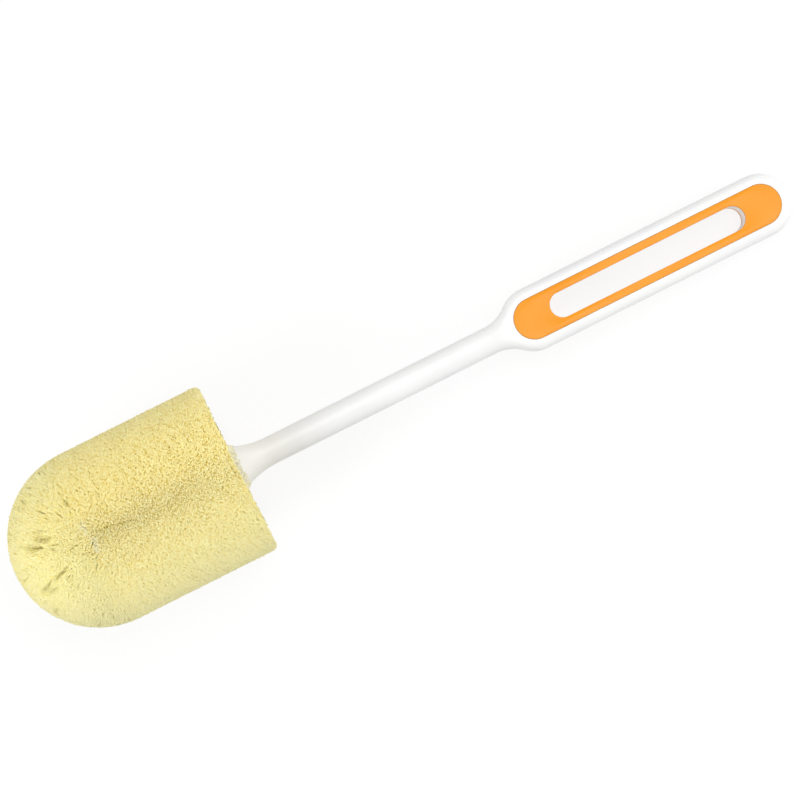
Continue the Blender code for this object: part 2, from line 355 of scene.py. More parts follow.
@dataclass(frozen=True)
class MouldedPolymer:
    """An injection-moulded plastic or rubber: an even colour with faint flow clouds and a fine skin.

    Attributes:
        name: The material's name.
        colour: Colour of the bulk.
        cloud: Colour of the slightly denser flow clouds.
        cloud_mm: Breadth of a cloud.
        roughness: Microfacet roughness of the skin.
        ior: Refractive index.
        grain_mm: Breadth of the skin's grain.
        grain_depth_mm: Height of the grain.
        ripple_mm: Breadth of the mould's soft unevenness, which breaks up reflections.
        ripple_depth_mm: Height of that unevenness.
        cloud_edges: The noise's values between which one colour turns into the other.
        sheen: How much the roughness changes from cloud to cloud, either way.
    """

    name: str
    colour: str
    cloud: str
    cloud_mm: float
    roughness: float
    ior: float
    grain_mm: float
    grain_depth_mm: float
    ripple_mm: float
    ripple_depth_mm: float
    cloud_edges: tuple[float, float] = (0.35, 0.65)
    sheen: float = 0.03

    def build(self) -> bpy.types.Material:
        """Build the material: clouds mix two colours, and grain and ripple add up to one bump.

        Returns:
            The material.
        """
        material, tree, shader = new_material(self.name)
        where = add_node(tree, "ShaderNodeTexCoord").outputs["Object"]
        # A noise scale in turns per metre is a thousand over the breadth in millimetres.
        clouds = add_node(tree, "ShaderNodeTexNoise", vector=where, scale=1000 / self.cloud_mm, detail=3.0)
        start, end = self.cloud_edges
        tone = add_node(tree, "ShaderNodeMapRange", value=clouds.outputs[0], from_min=start, from_max=end)
        mixed = add_node(tree, "ShaderNodeMix", {"data_type": "RGBA"}, in_0=tone.outputs[0],
                         in_6=linear(self.colour), in_7=linear(self.cloud))
        sheen = add_node(tree, "ShaderNodeMapRange", value=clouds.outputs[0],
                         to_min=self.roughness - self.sheen, to_max=self.roughness + self.sheen)
        below = {}
        for breadth, height in ((self.grain_mm, self.grain_depth_mm), (self.ripple_mm, self.ripple_depth_mm)):
            noise = add_node(tree, "ShaderNodeTexNoise", vector=where, scale=1000 / breadth, detail=1.0)
            bump = add_node(tree, "ShaderNodeBump", height=noise.outputs[0], strength=1.0,
                            distance=height / 1000, **below)
            below = {"normal": bump.outputs[0]}
        tree.links.new(mixed.outputs[2], shader.inputs["Base Color"])
        tree.links.new(sheen.outputs[0], shader.inputs["Roughness"])
        tree.links.new(below["normal"], shader.inputs["Normal"])
        shader.inputs["IOR"].default_value = self.ior
        return material


@dataclass(frozen=True)
class DyedFilament:
    """Crimped polyester filament, dyed through and cut blunt, with painted shade in the depth and painted
    highlights at the tips.

    Attributes:
        name: The material's name.
        depth: Painted shade: the colour deep between the filaments.
        dye: Colours from the filaments that took up most dye to those that took up least, each with
        its value of shade. The paler ones serve as painted light too, and the last is the patches' painted
        highlight.
        tip: Painted highlight: the colour of the cut ends, which are mixed with the dye's.
        tip_start: Value of along up to which the side has its own colour.
        tip_share: How much of the tip's painted highlight the cut end takes.
        roughness: Microfacet roughness of the side.
        ior: Refractive index.
    """

    name: str = "polyester_filament_dyed_yellow"
    # Painted shade deep between the filaments.
    depth: str = "#AFA246"
    # The paler colours also serve as painted light, and the last one is the painted highlight of the pale
    # patches.
    dye: tuple[tuple[float, str], ...] = ((0.0, "#E8CE64"), (0.3, "#F6E180"), (0.6, "#FFF3A0"),
                                          (0.85, "#FFF8BA"), (1.0, "#FFF9E2"))
    # Painted highlight of the cut ends.
    tip: str = "#FFF8C4"
    tip_start: float = 0.85
    tip_share: float = 0.35
    roughness: float = 0.55
    ior: float = 1.58

    def build(self) -> bpy.types.Material:
        """Build the material from two attributes: along runs from painted shade to painted highlight, shade
        is the dye and painted light.

        Returns:
            The material.
        """
        material, tree, shader = new_material(self.name)
        along, shade = (add_node(tree, "ShaderNodeAttribute", {"attribute_name": name}).outputs["Fac"]
                        for name in ("along", "shade"))
        ramp = add_node(tree, "ShaderNodeValToRGB", fac=shade)
        for place, colour in self.dye[1:-1]:
            ramp.color_ramp.elements.new(place)
        for element, (place, colour) in zip(ramp.color_ramp.elements, self.dye):
            element.position, element.color = place, linear(colour)
        # Painted shade: the side darkens towards the depth colour as along falls.
        lower = add_node(tree, "ShaderNodeMapRange", value=along, from_max=self.tip_start)
        side = add_node(tree, "ShaderNodeMix", {"data_type": "RGBA"}, in_0=lower.outputs[0],
                        in_6=linear(self.depth), in_7=ramp.outputs[0])
        # Painted highlight: the cut end takes some of the tip's colour.
        upper = add_node(tree, "ShaderNodeMapRange", value=along, from_min=self.tip_start,
                         to_max=self.tip_share)
        final = add_node(tree, "ShaderNodeMix", {"data_type": "RGBA"}, in_0=upper.outputs[0],
                         in_6=side.outputs[2], in_7=linear(self.tip))
        tree.links.new(final.outputs[2], shader.inputs["Base Color"])
        shader.inputs["Roughness"].default_value = self.roughness
        shader.inputs["IOR"].default_value = self.ior
        return material


# Polypropylene, injection-moulded in a polished tool: opaque white with a satin gloss.
WHITE_PP = MouldedPolymer("polypropylene_moulded_white", "#ECECEB", "#E8E8E8", cloud_mm=18.0,
                          roughness=0.36, ior=1.49, grain_mm=0.35, grain_depth_mm=0.002,
                          ripple_mm=9.0, ripple_depth_mm=0.02)
# Thermoplastic rubber, moulded over the grip: orange with a dull, finely grained soft-touch skin.
ORANGE_TPR = MouldedPolymer("thermoplastic_rubber_moulded_orange", "#EA9720", "#E8931C", cloud_mm=12.0,
                            roughness=0.36, ior=1.36, grain_mm=0.4, grain_depth_mm=0.006,
                            ripple_mm=7.0, ripple_depth_mm=0.02)
# Polypropylene without pigment, moulded in a plain tool: milky and matt.
NATURAL_PP = MouldedPolymer("polypropylene_moulded_natural", "#EDEBDD", "#E6E3D2", cloud_mm=10.0,
                            roughness=0.45, ior=1.49, grain_mm=0.4, grain_depth_mm=0.004,
                            ripple_mm=6.0, ripple_depth_mm=0.02)


# Handle


@dataclass
class Handle:
    """The white moulding: flare, stem, neck and grip with two recesses and the hanging slot.

    Attributes (metres):
        flare_start: X of the flare's open end, against the core's flange.
        flare_radius: Radius there.
        flare_arc: Radius of the flare's concave arc.
        stem_radius: Radius of the stem.
        stem_length: Length of the plain stem.
        neck_fillet: Radius of the concave arc from stem to grip, seen from the front.
        thickening: Length over which the stem takes on the grip's thickness.
        half_width: Half the grip's width, and the radius of its round ends.
        straight: Distance between the centres of those ends.
        thickness: Thickness of the grip.
        edge: Radius of the grip's long edges.
        margin: White rim round an inlay.
        inlay_top: Height of the inlay's face above the middle plane.
        inlay_depth: Thickness of an inlay.
        band: Width of an inlay beside the slot.
        slot_inset: Distance from a grip end's centre to the slot end's centre.
        gap: Clearance under an inlay, and between the core and the flare's end.
        seam: Clearance beside an inlay, which shows as a dark line.
        rim: Radius of the moulded edges of recess and slot.
        socket_radius: Radius of the core's socket.
        socket_flat: Distance of the socket's two flats from the axis.
        socket_depth: Depth of the socket from the core's flange.
        sharp: Angle in degrees from which an edge is shaded as a sharp one.
        flare_angle: Turn of the flare's arc.
        stem_start: X of the stem's first end.
        stem_end: X of its last end.
        neck_angle: Turn of each of the neck's two arcs.
        grip_start: X of the centre of the grip's first round end.
        grip_end: X of the centre of its last one.
    """

    flare_start: float = 0.0489
    flare_radius: float = 0.0082
    flare_arc: float = 0.026
    stem_radius: float = 0.0046
    stem_length: float = 0.0800
    neck_fillet: float = 0.013
    thickening: float = 0.014
    half_width: float = 0.0105
    straight: float = 0.0824
    thickness: float = 0.012
    edge: float = 0.0031
    margin: float = 0.0037
    inlay_top: float = 0.0061
    inlay_depth: float = 0.0018
    band: float = 0.0026
    slot_inset: float = 0.0102
    gap: float = 0.0003
    seam: float = 0.00006
    rim: float = 0.0002
    socket_radius: float = 0.0029
    socket_flat: float = 0.0022
    socket_depth: float = 0.0205
    sharp: float = 32.0
    flare_angle: float = field(init=False)
    stem_start: float = field(init=False)
    stem_end: float = field(init=False)
    neck_angle: float = field(init=False)
    grip_start: float = field(init=False)
    grip_end: float = field(init=False)

    def __post_init__(self) -> None:
        """Work out the places along the axis that follow from the sizes."""
        self.flare_angle = math.acos(1 - (self.flare_radius - self.stem_radius) / self.flare_arc)
        self.stem_start = self.flare_start + self.flare_arc * math.sin(self.flare_angle)
        self.stem_end = self.stem_start + self.stem_length
        arcs = self.neck_fillet + self.half_width
        reach = math.sqrt(arcs ** 2 - (self.neck_fillet + self.stem_radius) ** 2)
        self.neck_angle = math.asin(reach / arcs)
        self.grip_start = self.stem_end + reach
        self.grip_end = self.grip_start + self.straight

    @property
    def inlay_half_width(self) -> float:
        """Half the width of an inlay."""
        return self.half_width - self.margin

    @property
    def slot_half_width(self) -> float:
        """Half the width of the hanging slot."""
        return self.inlay_half_width - self.band

    def flare_at(self, x: np.ndarray) -> np.ndarray:
        """The flare's radius: stem radius plus arc radius less its root of squares with the distance."""
        return self.stem_radius + self.flare_arc - np.sqrt(self.flare_arc ** 2 - (self.stem_start - x) ** 2)

    def stations(self) -> np.ndarray:
        """Places along the handle with the half-width there.

        The flare is an arc that leaves the stem tangentially: stem radius plus arc radius times one
        less the cosine of the turn. The neck is a concave arc of the same kind, then the convex arc of
        the grip's round end, whose half-width is its radius times the cosine of the turn.

        Returns:
            Array of shape (stations, 2).
        """
        flare_steps, stem_steps, neck_steps, grip_steps = 21, 42, 17, 13

        def concave(start: float, arc: float, turn: np.ndarray) -> tuple[np.ndarray, np.ndarray]:
            """An arc that leaves the stem tangentially, backwards for a negative turn."""
            return start + arc * np.sin(turn), self.stem_radius + arc * (1 - np.cos(turn))

        stem = np.linspace(self.stem_start, self.stem_end, stem_steps)[1:-1]
        turn = np.linspace(self.neck_angle, 0, neck_steps)[1:]
        grip = np.linspace(self.grip_start, self.grip_end, grip_steps)[1:]
        parts = (
            concave(self.stem_start, self.flare_arc, np.linspace(-self.flare_angle, 0, flare_steps)),
            (stem, np.full_like(stem, self.stem_radius)),
            concave(self.stem_end, self.neck_fillet, np.linspace(0, self.neck_angle, neck_steps)),
            (self.grip_start - self.half_width * np.sin(turn), self.half_width * np.cos(turn)),
            (grip, np.full_like(grip, self.half_width)),
        )
        return np.concatenate([np.column_stack(part) for part in parts])

    def half_sections(self) -> np.ndarray:
        """One side of the section at every station, from the middle of the top to that of the bottom.

        A section is a rounded bar: each corner is its centre plus the corner's radius times the sine
        and cosine of the turn. Half-height and corner radius blend from the round stem's to the
        grip's over the thickening, by the smooth share.

        Returns:
            Array of shape (stations, points, 3).
        """
        corner_steps = 15
        x, width = self.stations().T[:, :, None]
        start = self.grip_start - self.inlay_half_width - 2 * self.gap - self.thickening
        share = smooth_share((x - start) / self.thickening)
        height = width + share * (self.thickness / 2 - width)
        corner = np.minimum(width + share * (self.edge - width), np.minimum(width, height))
        turn = np.linspace(0, np.pi / 2, corner_steps)[None, :]
        y = width - corner + corner * np.sin(turn)
        z = height - corner + corner * np.cos(turn)
        middle = np.zeros_like(x)
        y = np.concatenate([middle, y, y[:, ::-1], middle], axis=1)
        z = np.concatenate([height, z, -z[:, ::-1], -height], axis=1)
        return np.stack([np.broadcast_to(x, y.shape), y, z], axis=-1)

    def body(self) -> bpy.types.Mesh:
        """Loft the sections along the axis, and turn the last one round the grip's end.

        The end is the last half section turned about the upright line through the centre of the
        grip's round end: x is the centre plus the half-width times the sine of the turn, and y the
        half-width times its cosine.

        Returns:
            The closed mesh without its cuts.
        """
        end_steps = 49
        right = self.half_sections()
        left = right[:, -2:0:-1] * np.array([1, -1, 1])
        rings = np.concatenate([right, left], axis=1)
        rows, columns = rings.shape[:2]
        faces = ring_quads(rows, columns, False).tolist()
        faces.append(list(range(columns))[::-1])
        last = right[-1]
        turn = np.linspace(0, np.pi, end_steps)[:, None]
        end = np.stack([self.grip_end + last[:, 1] * np.sin(turn), last[:, 1] * np.cos(turn),
                        np.broadcast_to(last[:, 2], (len(turn), len(last)))], axis=-1)
        steps, points = end.shape[:2]
        near = np.arange(steps - 1)[:, None] * points + np.arange(points - 1) + rows * columns
        sweep = np.stack([near, near + 1, near + points + 1, near + points], axis=-1)
        faces += sweep.reshape(-1, 4).tolist()
        everything = np.concatenate([rings.reshape(-1, 3), end.reshape(-1, 3)])
        mesh = bpy.data.meshes.new("handle_moulding")
        mesh.from_pydata(LIE.to_world(everything), [], faces)
        return tidied(mesh)

    def opening(self, name: str, inset: float, radius: float, low: float, high: float,
                flared: tuple[bool, bool]) -> bpy.types.Mesh:
        """A stadium-shaped cutter that leaves rounded moulded edges where it comes out.

        Its radius is constant, and grows by an arc of the rim's radius towards each flared end: rim
        times one less the cosine of the turn, over rim times its sine. Past the surface it is
        straight, so that no ring lies in the surface.

        Args:
            name: Mesh name.
            inset: Distance of the outline's centres from the grip's end centres.
            radius: Half-width of the opening.
            low: Height of the lower end, or of the surface there if it is flared.
            high: Height of the upper end, or of the surface there if it is flared.
            flared: Whether the lower and the upper end are flared.

        Returns:
            The cutter's mesh.
        """
        # Turn and points of the rim's arc, and how far the cutter goes past the surface.
        rim_turn, rim_steps, beyond = np.radians(60), 5, 0.0013
        turn = np.linspace(0, rim_turn, rim_steps)
        grow, rise = self.rim * (1 - np.cos(turn)), self.rim * np.sin(turn)
        heights, growths = [[low]], [[0.0]]
        if flared[0]:
            heights = [[low - beyond], (low + self.rim - rise)[::-1]]
            growths = [grow[-1:], grow[::-1]]
        if flared[1]:
            heights += [high - self.rim + rise, [high + beyond]]
            growths += [grow, grow[-1:]]
        else:
            heights, growths = heights + [[high]], growths + [[0.0]]
        rings = []
        for z, extra in zip(np.concatenate(heights), np.concatenate(growths)):
            outline = stadium(self.grip_start + inset, self.grip_end - inset, radius + extra)
            rings.append(np.column_stack([outline, np.full(len(outline), z)]))
        return skin(name, np.array(rings), Ends.CAPPED)

    def socket(self) -> bpy.types.Mesh:
        """The socket's cutter: a round bar whose upper and lower sides are cut flat.

        Its y and z are the radius times the sine and cosine of an even turn, and z is held between
        the flats.

        Returns:
            The cutter's mesh.
        """
        corners = 48
        angle = np.linspace(0, FULL_TURN, corners, endpoint=False)
        y = self.socket_radius * np.sin(angle)
        z = np.clip(self.socket_radius * np.cos(angle), -self.socket_flat, self.socket_flat)
        start = self.flare_start - self.gap
        rings = [np.stack([np.full_like(y, x), y, z], axis=-1) for x in (start, start + self.socket_depth)]
        return skin("socket_cutter", np.array(rings), Ends.CAPPED)

    def build(self, material: bpy.types.Material) -> bpy.types.Object:
        """Cut the socket, the recesses and the slot out of the body, and dress it.

        Args:
            material: The moulding's finish.

        Returns:
            The finished handle.
        """
        floor = self.inlay_top - self.inlay_depth - self.gap
        radius = self.inlay_half_width + self.seam
        face = self.thickness / 2
        cutters = [
            self.socket(),
            self.opening("front_recess_cutter", 0.0, radius, floor, face, (False, True)),
            self.opening("back_recess_cutter", 0.0, radius, -face, -floor, (True, False)),
            self.opening("slot_cutter", self.slot_inset, self.slot_half_width, -floor, floor, (True, True)),
        ]
        draft = put("handle_draft", self.body())
        tools = [put(cutter.name, cutter) for cutter in cutters]
        for tool in tools:
            boolean = draft.modifiers.new(tool.name, "BOOLEAN")
            boolean.operation, boolean.solver, boolean.object = "DIFFERENCE", "EXACT", tool
        ready = draft.evaluated_get(bpy.context.evaluated_depsgraph_get())
        mesh = tidied(bpy.data.meshes.new_from_object(ready))
        mesh.name = "handle_dressed"
        for scrap in [draft, *tools]:
            bpy.data.objects.remove(scrap, do_unlink=True)
        mesh.shade_smooth()
        mesh.set_sharp_from_angle(angle=math.radians(self.sharp))
        piece = add_piece(mesh, material, "white_polypropylene", "handle")
        piece.modifiers.new("even_normals", "WEIGHTED_NORMAL").keep_sharp = True
        return piece


# Grip inlays


class Side(Enum):
    """The two faces of the grip."""

    FRONT = 1
    BACK = -1


@dataclass
class GripInlay:
    """A soft ring that fills one recess, with rounded edges and slightly dished ends.

    Attributes:
        handle: The handle whose recess it fills.
        side: The face that it lies in.
        edge: Radius of its upper edges, in metres.
        dish: How far the middle of its wide ends lies below its edges, in metres.
        wide: Share of the greatest width at which the dish is as deep as that.
        sharp: Angle in degrees from which an edge is shaded as a sharp one.
    """

    handle: Handle
    side: Side
    edge: float = 0.0002
    dish: float = 0.0003
    wide: float = 0.8
    sharp: float = 40.0

    def rings(self) -> np.ndarray:
        """The ring's profile carried round the stadium path.

        The profile climbs the outer wall, rounds the edge by a quarter circle, crosses the face on a
        blend between the outer and the inner outline, rounds the inner edge and drops to the floor.
        The face sinks by the dish times four times the blend times one less the blend, faded by how
        wide the ring is there.

        Returns:
            Array of shape (profile points, path points, 3).
        """
        edge_steps, face_steps = 7, 14
        grip = self.handle
        top, low = grip.inlay_top, grip.inlay_top - grip.inlay_depth
        turn = np.linspace(0, np.pi / 2, edge_steps)
        inset, rise = self.edge * (1 - np.cos(turn)), self.edge * np.sin(turn)

        def outer(shrink: float) -> np.ndarray:
            """The outer outline, drawn in by an amount."""
            return stadium(grip.grip_start, grip.grip_end, grip.inlay_half_width - shrink)

        def inner(grow: float) -> np.ndarray:
            """The slot's outline, opened out by an amount."""
            return stadium(grip.grip_start + grip.slot_inset, grip.grip_end - grip.slot_inset,
                           grip.slot_half_width + grow)

        def ring(outline: np.ndarray, height: np.ndarray | float) -> np.ndarray:
            """An outline at a height."""
            return np.column_stack([outline, np.broadcast_to(height, len(outline))])

        width = np.linalg.norm(outer(self.edge) - inner(self.edge), axis=1)
        share = smooth_share((width - grip.band) / (self.wide * width.max() - grip.band))
        rings = [ring(outer(0.0), low)]
        rings += [ring(outer(shrink), top - self.edge + lift) for shrink, lift in zip(inset, rise)]
        for blend in np.linspace(0, 1, face_steps)[1:-1]:
            flat = outer(self.edge) * (1 - blend) + inner(self.edge) * blend
            rings.append(ring(flat, top - self.dish * 4 * blend * (1 - blend) * share))
        rings += [ring(inner(grow), top - self.edge + lift) for grow, lift in zip(inset[::-1], rise[::-1])]
        rings.append(ring(inner(0.0), low))
        return np.array(rings) * np.array([1, 1, self.side.value])

    def build(self, material: bpy.types.Material) -> bpy.types.Object:
        """Make the ring and dress it.

        Args:
            material: The rubber's finish.

        Returns:
            The finished inlay.
        """
        where = self.side.name.lower()
        mesh = skin(f"soft_inlay_{where}", self.rings(), Ends.JOINED)
        mesh.shade_smooth()
        mesh.set_sharp_from_angle(angle=math.radians(self.sharp))
        return add_piece(mesh, material, "orange_soft_rubber", f"grip_inlay_{where}")


# Bristle head


@dataclass(frozen=True)
class Parting:
    """A wedge-shaped gap where the filaments lean away from a line on the head.

    Attributes:
        centre: Middle of the line, as a point on the head in metres.
        along: Direction of the line, made tangent to the head where it is used.
        length: Half-length of the line in metres.
        reach: How far from the line filaments still lean, in metres.
        width: How far the tips beside the line are pushed aside, in metres.
    """

    centre: tuple[float, float, float]
    along: tuple[float, float, float]
    length: float
    reach: float
    width: float


@dataclass
class Filaments:
    """Positions of many filaments, one row in each array for each filament.

    Attributes:
        root: Lower ends, shape (count, 3).
        bend: Points between the ends, shape (count, 3).
        tip: Cut ends, shape (count, 3).
        place: Place of each tip on the head's outline.
        shade: How pale each filament is, from 0 to 1: its dye, with painted light and painted highlights.
        deep: Value of along at the bend, low where it lies in shadow.
        top: Value of along at the cut end, lowered by painted shade in pits and partings.
        thick: Radius of the three-sided section, in metres.
    """

    root: np.ndarray
    bend: np.ndarray
    tip: np.ndarray
    place: np.ndarray
    shade: np.ndarray
    deep: np.ndarray
    top: np.ndarray
    thick: np.ndarray

    def picked(self, mask: np.ndarray) -> "Filaments":
        """Only the filaments that a mask names."""
        return Filaments(**{each.name: getattr(self, each.name)[mask] for each in fields(self)})

    def joined(self, other: "Filaments") -> "Filaments":
        """These filaments and the other ones."""
        return Filaments(**{each.name: np.concatenate([getattr(self, each.name), getattr(other, each.name)])
                            for each in fields(self)})


@dataclass
class BristleHead:
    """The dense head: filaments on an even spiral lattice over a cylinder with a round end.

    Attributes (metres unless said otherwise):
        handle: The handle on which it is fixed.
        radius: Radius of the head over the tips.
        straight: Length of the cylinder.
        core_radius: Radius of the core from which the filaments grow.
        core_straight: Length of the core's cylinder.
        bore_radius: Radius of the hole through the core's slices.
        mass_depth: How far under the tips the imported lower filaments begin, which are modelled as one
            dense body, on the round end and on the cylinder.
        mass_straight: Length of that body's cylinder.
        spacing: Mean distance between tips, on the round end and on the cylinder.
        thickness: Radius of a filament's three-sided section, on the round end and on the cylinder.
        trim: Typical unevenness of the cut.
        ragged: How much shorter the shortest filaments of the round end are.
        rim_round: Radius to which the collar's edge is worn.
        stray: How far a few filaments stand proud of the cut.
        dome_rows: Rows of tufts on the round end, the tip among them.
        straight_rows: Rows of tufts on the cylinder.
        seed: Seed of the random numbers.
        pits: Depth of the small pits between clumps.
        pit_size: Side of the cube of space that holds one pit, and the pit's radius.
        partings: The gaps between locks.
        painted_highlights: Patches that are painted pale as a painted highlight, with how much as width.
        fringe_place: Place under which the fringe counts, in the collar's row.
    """

    handle: Handle
    radius: float = 0.0295
    straight: float = 0.0500
    core_radius: float = 0.0082
    core_straight: float = 0.0463
    bore_radius: float = 0.0048
    mass_depth: tuple[float, float] = (0.0028, 0.0016)
    mass_straight: float = 0.0472
    spacing: tuple[float, float] = (0.00030, 0.00030)
    thickness: tuple[float, float] = (0.00020, 0.00021)
    trim: float = 0.00005
    ragged: float = 0.0014
    rim_round: float = 0.0018
    stray: float = 0.0003
    dome_rows: int = 8
    straight_rows: int = 9
    seed: int = 11
    pits: float = 0.0013
    pit_size: tuple[float, float] = (0.00115, 0.00034)
    partings: tuple[Parting, ...] = (
        Parting((-0.0156, 0.0070, 0.0236), (-0.79, 0.26, -0.55), 0.0035, 0.0013, 0.00060),
        Parting((-0.0194, 0.0058, 0.0205), (-0.66, 0.33, -0.70), 0.0045, 0.0012, 0.00060),
        Parting((-0.0124, 0.0039, 0.0262), (-0.90, 0.00, -0.43), 0.0017, 0.0006, 0.00028),
        Parting((-0.0156, 0.0099, 0.0227), (-0.80, 0.09, -0.59), 0.0021, 0.0010, 0.00036),
        Parting((-0.0150, -0.0056, 0.0245), (-0.75, -0.35, -0.57), 0.0037, 0.0008, 0.00050),
        Parting((-0.0210, -0.0072, 0.0185), (-0.54, -0.25, -0.80), 0.0050, 0.0011, 0.00050),
        Parting((-0.0200, -0.0092, 0.0195), (-0.66, -0.07, -0.75), 0.0036, 0.0010, 0.00046),
        Parting((-0.0134, -0.0077, 0.0248), (-0.65, -0.54, -0.52), 0.0013, 0.0008, 0.00036),
        Parting((-0.0123, -0.0117, 0.0239), (-0.66, -0.48, -0.58), 0.0012, 0.0006, 0.00036),
        Parting((-0.0033, 0.0142, 0.0254), (0.16, -0.85, 0.50), 0.0016, 0.0007, 0.00046),
        Parting((-0.0034, 0.0104, 0.0271), (0.17, -0.91, 0.37), 0.0013, 0.0004, 0.00019),
        Parting((-0.0131, 0.0219, 0.0143), (0.23, -0.43, 0.87), 0.0023, 0.0008, 0.00032),
        Parting((-0.0160, 0.0210, 0.0122), (0.18, -0.41, 0.89), 0.0033, 0.0010, 0.00037),
        Parting((-0.0225, -0.0155, 0.0108), (-0.54, -0.50, -0.67), 0.0033, 0.0011, 0.00042),
        Parting((0.0076, 0.0009, 0.0293), (0.98, -0.20, 0.01), 0.0065, 0.0008, 0.00015),
        Parting((-0.0149, 0.0149, -0.0208), (-0.80, 0.60, 0.00), 0.0042, 0.0011, 0.00044),
        Parting((-0.0178, -0.0119, -0.0206), (-1.00, -0.30, 0.00), 0.0048, 0.0012, 0.00047),
    )
    # Patches of painted highlight, whose width says how much paler they make the filaments.
    painted_highlights: tuple[Parting, ...] = (
        Parting((-0.0019, 0.0042, 0.0289), (0.13, -0.98, 0.15), 0.0017, 0.0010, 0.30),
        Parting((-0.0007, -0.0019, 0.0291), (-0.11, -0.99, -0.07), 0.0026, 0.0010, 0.38),
    )
    fringe_place: float = 1.999

    def outline(self, radius: np.ndarray | float, straight: np.ndarray | float,
                place: np.ndarray) -> tuple[np.ndarray, np.ndarray]:
        """Points of a half outline of the head's kind.

        Up to place 1 it is a quarter circle from the pole to the rim of the round end, and from 1 to
        2 a straight line back to the collar.

        Args:
            radius: Radius of the outline.
            straight: Length of its straight part.
            place: Where on the outline.

        Returns:
            X and distance from the axis.
        """
        turn = np.pi / 2 * np.minimum(place, 1)
        return (-radius * np.cos(turn) + np.maximum(place - 1, 0) * straight, radius * np.sin(turn))

    def spun(self, radius: np.ndarray | float, straight: np.ndarray | float, place: np.ndarray,
             angle: np.ndarray) -> np.ndarray:
        """Outline points turned round the axis.

        Args:
            radius: Radius of the outline.
            straight: Length of its straight part.
            place: Where on the outline.
            angle: Turn about the axis.

        Returns:
            Array with x, y, z on its last axis.
        """
        return around(*self.outline(radius, straight, place), angle)

    def lattice(self, chance: np.random.Generator) -> tuple[np.ndarray, np.ndarray]:
        """Even places for all tips: equal areas in order from the pole, each a golden angle on.

        On the round end the area up to a turn is two pi times the radius squared times one less the
        cosine of the turn, and on the cylinder it grows evenly with the length.

        Args:
            chance: Random numbers for the jitter.

        Returns:
            Places and angles of the tips.
        """
        # The jitter's typical size in mean distances, and the end of the outline that no tip reaches.
        jitter, last_place = 0.33, 1.9999
        dome = FULL_TURN * self.radius ** 2
        tube = FULL_TURN * self.radius * self.straight
        on_dome, on_tube = int(dome / self.spacing[0] ** 2), int(tube / self.spacing[1] ** 2)
        share = (np.arange(on_dome) + 0.5) / on_dome
        place = np.concatenate([np.arccos(1 - share) / (np.pi / 2), 1 + (np.arange(on_tube) + 0.5) / on_tube])
        angle = np.arange(len(place)) * GOLDEN_ANGLE
        step = np.where(place < 1, *self.spacing)
        slip = chance.normal(0, jitter, (2, len(place))) * step
        length = np.where(place < 1, self.radius * np.pi / 2, self.straight)
        away = np.maximum(self.outline(self.radius, self.straight, place)[1], step)
        return np.clip(np.abs(place + slip[0] / length), 0, last_place), (angle + slip[1] / away) % FULL_TURN

    def pit_share(self, points: np.ndarray) -> np.ndarray:
        """How far each tip lies in one of the small pits between clumps of filaments, which are cut shorter
        and darkened with painted shade.

        Space is cut into cubes that stand askew to the head. Each has one pit, at a place that follows
        from the cube's indices: the fraction left of a large multiple of the sine of a mix of them.
        The share is a bell curve of the distance from that place. Pits are shallower on the flank at
        negative y.

        Args:
            points: Tips.

        Returns:
            A share from 0 to 1 for each tip.
        """
        askew = np.array([[0.8, -0.36, 0.48], [0.6, 0.48, -0.64], [0.0, 0.8, 0.6]])
        mix = np.array([[127.1, 269.5, 113.5], [311.7, 183.3, 271.9], [74.7, 246.1, 124.6]])
        # The large multiple, and where in its cube a pit's centre may be.
        multiple, margin, play = 43758.5453, 0.2, 0.6
        # Share of the depth on that flank, where it ends, and the breadth of the change.
        flank_share, flank_y, fade = 0.65, -0.014, 0.016
        size, radius = self.pit_size
        depth = flank_share + (1 - flank_share) * smooth_share((points[:, 1] - flank_y) / fade)
        points = points @ askew
        cube = np.floor(points / size)
        place = margin + play * ((np.sin(cube @ mix) * multiple) % 1)
        away = np.linalg.norm(points - (cube + place) * size, axis=1)
        return np.exp(-(away / radius) ** 2) * depth

    def drift(self, points: np.ndarray) -> np.ndarray:
        """A smooth leaning of whole tufts: waves in four directions, each pushing its own way.

        Args:
            points: Tips.

        Returns:
            Offsets of about one unit, not yet tangent to the head.
        """
        waves = np.array([[410, 260, 330], [-290, 470, 210], [350, -240, 520], [620, 310, -450]], float)
        phase = np.array([0.3, 1.9, 4.1, 2.7])
        push = np.array([[0.5, 0.4, -0.6], [-0.4, 0.6, 0.5], [0.6, -0.5, 0.4], [-0.3, -0.5, 0.5]])
        return np.sin(points @ waves.T + phase) @ push

    def outward(self, points: np.ndarray) -> np.ndarray:
        """The head's surface normal at each point: away from the round end's centre or the axis.

        Args:
            points: Points near the head's surface.

        Returns:
            One unit vector for each point.
        """
        normal = points.copy()
        normal[:, 0] = np.minimum(points[:, 0], 0)
        return normal / np.maximum(np.linalg.norm(normal, axis=1, keepdims=True), TINY)

    def all_partings(self) -> list[Parting]:
        """The named partings, and small ones at even places all over the round end.

        The small ones lie on a spiral with a golden angle between them. They run up the slope, turned
        by a little, because the head rests on its back and its filaments sag. Half-way up the head,
        where that pulls most, they are longer and wider.

        Returns:
            All partings.
        """
        chance = np.random.default_rng(self.seed + 1)
        count, reach, wander = 230, 0.97, 0.25
        # Limits of length, reach and width, and how much each grows half-way up, within a share of
        # the radius.
        smallest, largest = [0.0007, 0.00025, 0.00012], [0.0020, 0.00050, 0.00032]
        growth, within = np.array([1.5, 0.2, 0.7]), 0.7
        height = (np.arange(count) + 0.5) / count * reach
        angle = np.arange(count) * GOLDEN_ANGLE + chance.normal(0, wander, count)
        centres = around(-height, np.sqrt(1 - height ** 2), angle)
        lines = np.array([0.0, 0.0, 1.0]) + chance.normal(0, wander, (count, 3))
        sizes = chance.uniform(smallest, largest, (count, 3))
        sizes *= 1 + (1 - smooth_share(np.abs(centres[:, 2:]) / within)) * growth
        small = [Parting(tuple(c * self.radius), tuple(v), *z) for c, v, z in zip(centres, lines, sizes)]
        return list(self.partings) + small

